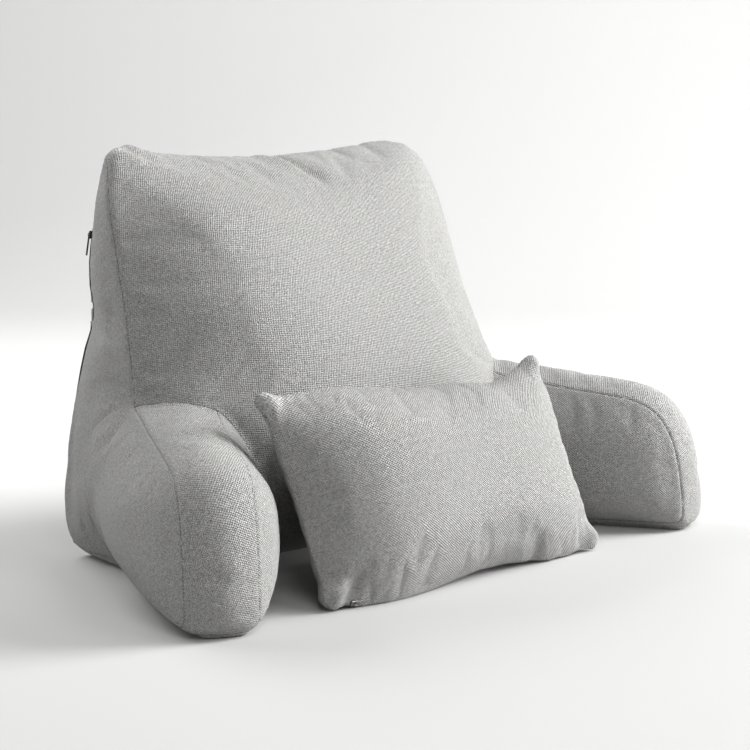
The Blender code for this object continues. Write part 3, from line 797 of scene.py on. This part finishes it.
def rounded_ears(points):
    """Rounds the lumbar cushion's corners and fills them, with a drawn-in neck on each side."""
    own = lumbar_places(points)
    for corner, reach, spread in zip(LUMBAR_CORNERS, EAR_REACHES, EAR_SPREADS):
        gap = np.linalg.norm(own[:, :2] - corner, axis=1)
        own[:, :2] += np.exp(-((gap / spread) ** 2))[:, None] * reach
    for across, upward in np.add(LUMBAR_CORNERS, EAR_REACHES):
        toward = np.sign(across), 1.0 if upward > LUMBAR_TALL / 2 else -1.0
        inside = np.column_stack([(across - own[:, 0]) * toward[0], (upward - own[:, 1]) * toward[1]])
        near = (inside.max(1) < EAR_RADIUS) & (inside.min(1) > EAR_PAST)
        offset = np.clip(EAR_RADIUS - inside, 0, None)
        longest, reach = offset.max(1), np.linalg.norm(offset, axis=1)
        rounding = np.where(near, longest / np.maximum(reach, TINY), 1.0)
        inside = EAR_RADIUS - (EAR_RADIUS - inside) * rounding[:, None]
        own[:, 0] = across - inside[:, 0] * toward[0]
        own[:, 1] = upward - inside[:, 1] * toward[1]
        gap = np.linalg.norm(inside - EAR_MIDDLE, axis=1)
        fuller = EAR_FULLNESS * np.exp(-((gap / EAR_BREADTH) ** 2))
        from_middle = np.linalg.norm(np.clip(EAR_RADIUS - inside, 0, None), axis=1)
        rim = eased(from_middle, EAR_RADIUS, EAR_RADIUS * EAR_RIM)
        own[:, 2] += np.sign(own[:, 2]) * fuller * rim
        for axis in (0, 1):
            beside, depth = inside[:, 1 - axis], inside[:, axis]
            neck = np.exp(-(((beside - NECK_PLACE) / NECK_BREADTH) ** 2)) * np.exp(-depth / NECK_REACH)
            own[:, axis] -= toward[axis] * NECK_DEPTH * neck * (depth < NECK_END)
    return lumbar_back(own)


def lumbar_lift(points):
    """Rise of the lumbar cushion's cloth: its creases, and the rolls of its front."""
    own = lumbar_places(points)
    left_seam = np.interp(own[:, 1], (0.0, LUMBAR_TALL), (LUMBAR_CORNERS[0][0], LUMBAR_CORNERS[2][0]))
    rolls = roll_lift(own[:, 0] - left_seam, LUMBAR_ROLL) + roll_lift(own[:, 1], LUMBAR_LOWER_ROLL)
    return crease_lift(own, LUMBAR_CREASES) + (own[:, 2] > 0) * rolls


def lumbar_cover():
    """Lumbar cushion as a front and a rear panel that meet in a knife edge."""
    cover = new_object("lumbar_cover", node_copy("lumbar_cushion"))
    remeshed(cover, LUMBAR_GRAIN)
    shell = bmesh.new()
    shell.from_mesh(cover.data)
    smoothed(shell, shell.verts, LUMBAR_FACET_PASSES)
    flat = places(shell)
    keep_rest(shell, flat, np.zeros(len(flat)))
    move_to(shell, rounded_ears(flat))
    shell.to_mesh(cover.data)
    hold = np.exp(-((before_lumbar_seam(flat) / LUMBAR_HOLD) ** 2))
    puffed(cover, hold, np.ones(len(hold)), *LUMBAR_FILLING)
    move_to(shell, coordinates(cover.data))
    raised(shell, lumbar_lift(places(shell)))
    cut_where(shell, before_lumbar_seam, everywhere, SEAM_LINES)
    middles, _ = face_middles(shell)
    mark_panels(shell, np.where(before_lumbar_seam(middles) > 0, LUMBAR_FRONT, LUMBAR_REAR))
    draw_in_seams(shell)
    shell.to_mesh(cover.data)
    shell.free()
    return cover


# Stitches and teeth


def seam_chains(made, level):
    """Runs of seam edges above a level, each as a list of places."""
    shell = bmesh.new()
    shell.from_mesh(made.data)
    links = {}
    for edge in shell.edges:
        if edge.seam and not closed_over(edge) and min(vert.co.z for vert in edge.verts) > level:
            for vert in edge.verts:
                links.setdefault(vert, []).append(edge)
    starts = [vert for vert, edges in links.items() if len(edges) != 2] + list(links)
    used, chains = set(), []
    for start in starts:
        for first in links[start]:
            if first in used:
                continue
            chain, vert, edge = [start.co.copy()], start, first
            while edge is not None:
                used.add(edge)
                vert = edge.other_vert(vert)
                chain.append(vert.co.copy())
                onward = [e for e in links[vert] if e not in used]
                edge = onward[0] if len(links[vert]) == 2 and onward else None
            chains.append(chain)
    shell.free()
    return chains


def evenly(chain, pitch):
    """Places at an even pitch along a chain, and the way it runs there."""
    points = np.array([tuple(point) for point in chain])
    reach = np.concatenate([[0], np.cumsum(np.linalg.norm(np.diff(points, axis=0), axis=1))])
    count = int(reach[-1] / pitch)
    at = (np.arange(count) + 0.5) * pitch
    middles = np.column_stack([np.interp(at, reach, column) for column in points.T])
    ahead = np.column_stack([np.interp(at + pitch / 3, reach, column) for column in points.T])
    return [(Vector(middle), Vector(after - middle)) for middle, after in zip(middles, ahead)]


def bead(shell, middle, way, length, breadth):
    """Adds a small rounded piece that lies along a way."""
    if way.length < TINY:
        return
    turned = way.to_track_quat("Z", "Y").to_matrix().to_4x4()
    shape = Matrix.Diagonal((breadth / 2, breadth / 2, length / 2, 1.0))
    at = Matrix.Translation(middle) @ turned @ shape
    facets = {"u_segments": BEAD_SEGMENTS, "v_segments": BEAD_RINGS}
    bmesh.ops.create_uvsphere(shell, radius=1.0, matrix=at, **facets)


def stitching(name, covered, level):
    """The thread that shows between the panels, a stitch at a time."""
    rows = []
    for chain in seam_chains(covered, level):
        stitches = evenly(chain, STITCH_PITCH)
        for start in range(0, len(stitches), ROW_OF_BEADS):
            row = bmesh.new()
            for middle, way in stitches[start : start + ROW_OF_BEADS]:
                bead(row, middle, way, STITCH_LENGTH, STITCH_BREADTH)
            rows.append(row)
    return new_object(name, joined(rows))


def zip_run():
    """Middle, sideways and outward way of the side zip's chain at each of its levels."""
    shell = node_copy("side_zip_chain")
    points = places(shell)
    shell.free()
    levels = np.unique(points[:, 2].round(3))
    found = []
    for level in levels:
        ring = points[np.abs(points[:, 2] - level) < CHAIN_RING]
        outward = (ring - ring.mean(0)) @ CHAIN_OUTWARD
        ridge = ring[np.argsort(outward)[-2:]]
        sideways = ridge[1] - ridge[0]
        sideways /= np.linalg.norm(sideways)
        found.append(np.concatenate([ridge.mean(0), sideways]))
    return np.array(found)


def zip_teeth():
    """Coil of the closed side zip, a turn at a time, on the ridge of its chain."""
    run = zip_run()
    shell = bmesh.new()
    reach = run[:, 2]
    for height in np.arange(ZIP_LIPS_TOP, reach[-1] - CHAIN_END, TOOTH_PITCH):
        values = np.array([np.interp(height, reach, column) for column in run.T])
        bead(shell, Vector(values[:3]), Vector(values[3:]), TOOTH_LENGTH, TOOTH_BREADTH)
    return new_object("side_zip_teeth", shell)


# Laying the cloth flat


def lay_flat(made):
    """Unwraps the object along its seams into a new UV map."""
    bpy.context.view_layer.objects.active = made
    bpy.ops.object.mode_set(mode="EDIT")
    bpy.ops.mesh.select_all(action="SELECT")
    bpy.ops.uv.unwrap(method="CONFORMAL", margin=0.0)
    bpy.ops.object.mode_set(mode="OBJECT")


def flat_areas(flat, sides):
    """Area of each face on the flat, from its corners and the number of them that each face has."""
    starts = np.concatenate([[0], np.cumsum(sides)])[:-1]
    following = np.arange(len(flat)) + 1
    following[starts + sides - 1] = starts
    crossed = flat[:, 0] * flat[following, 1] - flat[:, 1] * flat[following, 0]
    return np.abs(np.add.reduceat(crossed, starts)) / 2


def unwrapped(made):
    """Lays the panels flat as they were before the filling, at their real size, upright along V."""
    mesh = made.data
    filled = coordinates(mesh)
    unfilled = values_of(mesh.attributes["rest"].data, "vector", 3)
    mesh.vertices.foreach_set("co", unfilled.ravel())
    lay_flat(made)
    flat = values_of(mesh.uv_layers.active.data, "uv", 2)
    heights = coordinates(mesh)[values_of(mesh.loops, "vertex_index", 1, int), 2]
    panel = values_of(mesh.attributes["panel"].data, "value", 1, int)
    sides = values_of(mesh.polygons, "loop_total", 1, int)
    area = values_of(mesh.polygons, "area")
    size_ratio = np.sqrt(area / np.maximum(flat_areas(flat, sides), TINY_AREA))
    owner = np.repeat(panel, sides)
    for name in np.unique(panel):
        picked = owner == name
        centred = flat[picked] - flat[picked].mean(0)
        upward = np.linalg.lstsq(centred, heights[picked] - heights[picked].mean(), rcond=None)[0]
        upward /= np.linalg.norm(upward)
        turned = np.column_stack([centred @ (upward[1], -upward[0]), centred @ upward])
        flat[picked] = turned * np.median(size_ratio[panel == name])
    mesh.uv_layers.active.data.foreach_set("uv", flat.ravel())
    mesh.uv_layers.active.name = "weave"
    mesh.vertices.foreach_set("co", filled.ravel())
    mesh.update()


# Finishes


class Net:
    """Adds nodes to a material and links them."""

    def __init__(self, name):
        self.material = bpy.data.materials.new(name)
        self.material.use_nodes = True
        self.tree = self.material.node_tree
        self.shader = self.tree.nodes["Principled BSDF"]

    def node(self, kind, **inputs):
        made = self.tree.nodes.new(kind)
        self.fill(made, **inputs)
        return made

    def fill(self, node, **inputs):
        for name, value in inputs.items():
            self.put(node.inputs[name.replace("_", " ")], value)

    def put(self, socket, value):
        if isinstance(value, bpy.types.NodeSocket):
            self.tree.links.new(value, socket)
        else:
            socket.default_value = value

    def math(self, operation, *values):
        made = self.tree.nodes.new("ShaderNodeMath")
        made.operation = operation
        for socket, value in zip(made.inputs, values):
            self.put(socket, value)
        return made.outputs[0]

    def blend(self, part, low, high):
        made = self.tree.nodes.new("ShaderNodeMix")
        made.data_type = "RGBA"
        for name, value in (("Factor", part), ("A", low), ("B", high)):
            for socket in made.inputs:
                if socket.name == name and socket.enabled:
                    self.put(socket, value)
        return made.outputs[2]

    def along(self, vector, way):
        made = self.tree.nodes.new("ShaderNodeVectorMath")
        made.operation = "DOT_PRODUCT"
        self.put(made.inputs[0], vector)
        self.put(made.inputs[1], way)
        return made.outputs["Value"]

    def scaled(self, vector, factor):
        made = self.tree.nodes.new("ShaderNodeVectorMath")
        made.operation = "SCALE"
        self.put(made.inputs[0], vector)
        self.put(made.inputs["Scale"], factor)
        return made.outputs[0]

    def attribute(self, name):
        made = self.tree.nodes.new("ShaderNodeAttribute")
        made.attribute_name = name
        return made.outputs["Fac"]

    def noise(self, vector, scale, detail=2.0):
        made = self.node("ShaderNodeTexNoise", Vector=vector, Scale=scale, Detail=detail)
        return made.outputs["Fac"]

    def stretched(self, vector, across, along):
        return self.node("ShaderNodeMapping", Vector=vector, Scale=(across, along, 1.0)).outputs[0]


def woven_cloth(name):
    """Plain weave of light and dark heathered yarns, one above the other in turn."""
    net = Net(name)
    flat = net.node("ShaderNodeUVMap")
    flat.uv_map = "weave"
    flat = flat.outputs[0]
    over = crossing_yarns(net, flat)
    upright = net.noise(net.stretched(flat, *SLUB_SCALES), 1.0)
    level = net.noise(net.stretched(flat, *SLUB_SCALES[::-1]), 1.0)
    grain = net.noise(flat, GRAIN_SCALE, 3.0)
    noises = net.math("ADD", net.math("ADD", upright, level), grain)
    mottle = net.math("MULTIPLY_ADD", noises, HEATHER, 1.0 - HEATHER * MEAN_OF_THREE_NOISES)
    yarns = net.blend(net.math("MULTIPLY_ADD", over, 0.5, 0.5), DARK_YARN, LIGHT_YARN)
    # The mottle is the yarns' own tone; the seam factor is painted shade.
    mottle_and_seam_shade = net.math("MULTIPLY", mottle, painted_seam_shade(net))
    height = net.math("MULTIPLY_ADD", over, YARN_HEIGHT, net.math("MULTIPLY", grain, GRAIN_HEIGHT))
    bump = net.node("ShaderNodeBump", Height=height, Distance=YARN_RELIEF, Strength=1.0)
    net.fill(net.shader, Base_Color=net.scaled(yarns, mottle_and_seam_shade), Normal=bump.outputs[0])
    net.fill(net.shader, Sheen_Weight=CLOTH_SHEEN, Specular_IOR_Level=CLOTH_GLOSS)
    net.fill(net.shader, Roughness=CLOTH_ROUGHNESS)
    return net.material


def crossing_yarns(net, flat):
    """1 in the middle of a light yarn and -1 in the middle of a dark one, along wandering rows."""
    wander = net.node("ShaderNodeTexNoise", Vector=flat, Scale=WANDER_SCALE, Detail=2.0)
    moved = net.node("ShaderNodeVectorMath")
    net.put(moved.inputs[0], flat)
    net.put(moved.inputs[1], net.scaled(wander.outputs["Color"], WANDER))
    parts = net.node("ShaderNodeSeparateXYZ", Vector=moved.outputs[0])
    warp = net.math("SINE", net.math("MULTIPLY", parts.outputs[0], math.pi / YARN_ACROSS))
    weft = net.math("SINE", net.math("MULTIPLY", parts.outputs[1], math.pi / YARN_UP))
    return net.math("MULTIPLY", warp, weft)


def painted_seam_shade(net):
    """Painted shade along the groove of a seam, from the distance that each vertex keeps."""
    gap = net.attribute("seam_gap")
    line = net.node("ShaderNodeMapRange", Value=gap, From_Min=0.0, From_Max=SEAM_LINE, To_Min=SEAM_PAINTED_SHADE)
    return line.outputs[0]


def plain_material(name, colour, roughness, metallic=0.0):
    net = Net(name)
    net.fill(net.shader, Base_Color=(*colour, 1.0), Roughness=roughness, Metallic=metallic)
    return net.material


def sweep():
    """White paper on the floor that curves up into a wall behind the cushion."""
    paper = bmesh.new()
    corners = [paper.verts.new((x, SWEEP_FRONT, 0.0)) for x in (-SWEEP_HALF_WIDTH, SWEEP_HALF_WIDTH)]
    edges = [paper.edges.new(corners)]
    edges = extended(paper, edges, (0.0, SWEEP_BEND - SWEEP_FRONT, 0.0))
    centre = (0.0, SWEEP_BEND, SWEEP_RADIUS)
    quarter = {"axis": (1, 0, 0), "angle": math.pi / 2, "steps": SWEEP_STEPS, "dvec": (0, 0, 0)}
    bent = bmesh.ops.spin(paper, geom=edges, cent=centre, use_duplicate=False, **quarter)
    edges = [e for e in bent["geom_last"] if isinstance(e, bmesh.types.BMEdge)]
    extended(paper, edges, (0.0, 0.0, SWEEP_WALL))
    turned = Matrix.Rotation(math.radians(CAMERA_AZIMUTH), 3, "Z")
    bmesh.ops.rotate(paper, verts=paper.verts, cent=(0, 0, 0), matrix=turned)
    bmesh.ops.recalc_face_normals(paper, faces=paper.faces)
    if paper.faces[0].normal.z < 0:
        bmesh.ops.reverse_faces(paper, faces=paper.faces)
    return new_object("sweep", paper)


def extended(shell, edges, way):
    """Extrudes edges along a way, and gives back the far ones."""
    grown = bmesh.ops.extrude_edge_only(shell, edges=edges)["geom"]
    new = [part for part in grown if isinstance(part, bmesh.types.BMVert)]
    bmesh.ops.translate(shell, verts=new, vec=way)
    added = [part for part in grown if isinstance(part, bmesh.types.BMEdge)]
    return [edge for edge in added if all(vert in new for vert in edge.verts)]


def lit_paper(name):
    """White paper with the glow of a lit backdrop, from beside the cushion to the wall."""
    net = Net(name)
    place = net.node("ShaderNodeTexCoord").outputs["Object"]
    turn = math.radians(CAMERA_AZIMUTH)
    rearward = net.along(place, (-math.sin(turn), math.cos(turn), 0.0))
    rise = net.node("ShaderNodeMapRange", Value=rearward, From_Min=GLOW_FROM, From_Max=GLOW_TO)
    rise.interpolation_type = "SMOOTHSTEP"
    net.fill(rise, To_Max=GLOW)
    net.fill(net.shader, Emission_Color=(1.0, 1.0, 1.0, 1.0), Emission_Strength=rise.outputs[0])
    net.fill(net.shader, Base_Color=(*PAPER_COLOUR, 1.0), Roughness=PAPER_ROUGHNESS)
    return net.material


def studio():
    """Sets up the paper, a dark room and the softboxes."""
    paper = sweep()
    paper.data.materials.append(lit_paper("lit_paper"))
    paper.data.shade_smooth()
    world = bpy.data.worlds.new("studio")
    world.use_nodes = True
    world.node_tree.nodes["Background"].inputs["Strength"].default_value = 0.0
    bpy.context.scene.world = world
    for softbox in SOFTBOXES:
        lamp(*softbox)
    bpy.context.scene.view_settings.view_transform = "Standard"


def lamp(name, azimuth, elevation, distance, size, power):
    """A softbox that looks at the cushion, placed by its angle from +X and above the floor."""
    light = bpy.data.lights.new(name, "AREA")
    light.shape = "DISK"
    light.size = size
    light.energy = power
    made = bpy.data.objects.new(name, light)
    bpy.context.scene.collection.objects.link(made)
    turn, rise = math.radians(azimuth), math.radians(elevation)
    outward = Vector((math.cos(turn) * math.cos(rise), math.sin(turn) * math.cos(rise), math.sin(rise)))
    facing = outward.to_track_quat("Z", "Y").to_matrix().to_4x4()
    made.matrix_world = Matrix.Translation(Vector(LIT_POINT) + outward * distance) @ facing


# Pieces


def dressed(piece, material, slot, *nodes):
    """Gives a piece its finish, and hangs it on the root body; the CAD nodes that it stands for are hidden.
    """
    piece.data.materials.clear()
    piece.data.materials.append(material)
    piece.data.shade_smooth()
    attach(piece, "root")
    if nodes:
        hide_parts(*nodes)


camera()
studio()

cloth = woven_cloth("woven_cloth")
thread = plain_material("thread", THREAD_COLOUR, roughness=0.8)
tape = plain_material("zip_tape", TAPE_COLOUR, roughness=0.85)
teeth = plain_material("zip_teeth", TEETH_COLOUR, roughness=0.45)
dark_metal = plain_material("dark_metal", DARK_METAL, roughness=0.35, metallic=1.0)
bright_metal = plain_material("bright_metal", BRIGHT_METAL, roughness=0.3, metallic=1.0)

cover, lumbar = pillow_cover(), lumbar_cover()
unwrapped(cover)
unwrapped(lumbar)
dressed(cover, cloth, "back_cloth", "back_cushion", "arm_left", "arm_right")
dressed(lumbar, cloth, "lumbar_cloth", "lumbar_cushion")
dressed(stitching("pillow_stitching", cover, STITCHED_ABOVE), thread, "back_cloth")
dressed(stitching("lumbar_stitching", lumbar, STITCHED_ABOVE), thread, "lumbar_cloth")
dressed(zip_teeth(), teeth, "zip_tape")
zip_finishes = {
    "side_zip_chain": tape,
    "side_zip_slider": dark_metal,
    "side_zip_puller": dark_metal,
    "lumbar_zip_slider": bright_metal,
    "lumbar_zip_puller": bright_metal,
}
for name, material in zip_finishes.items():
    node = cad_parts[name]
    node.data.materials.clear()
    node.data.materials.append(material)
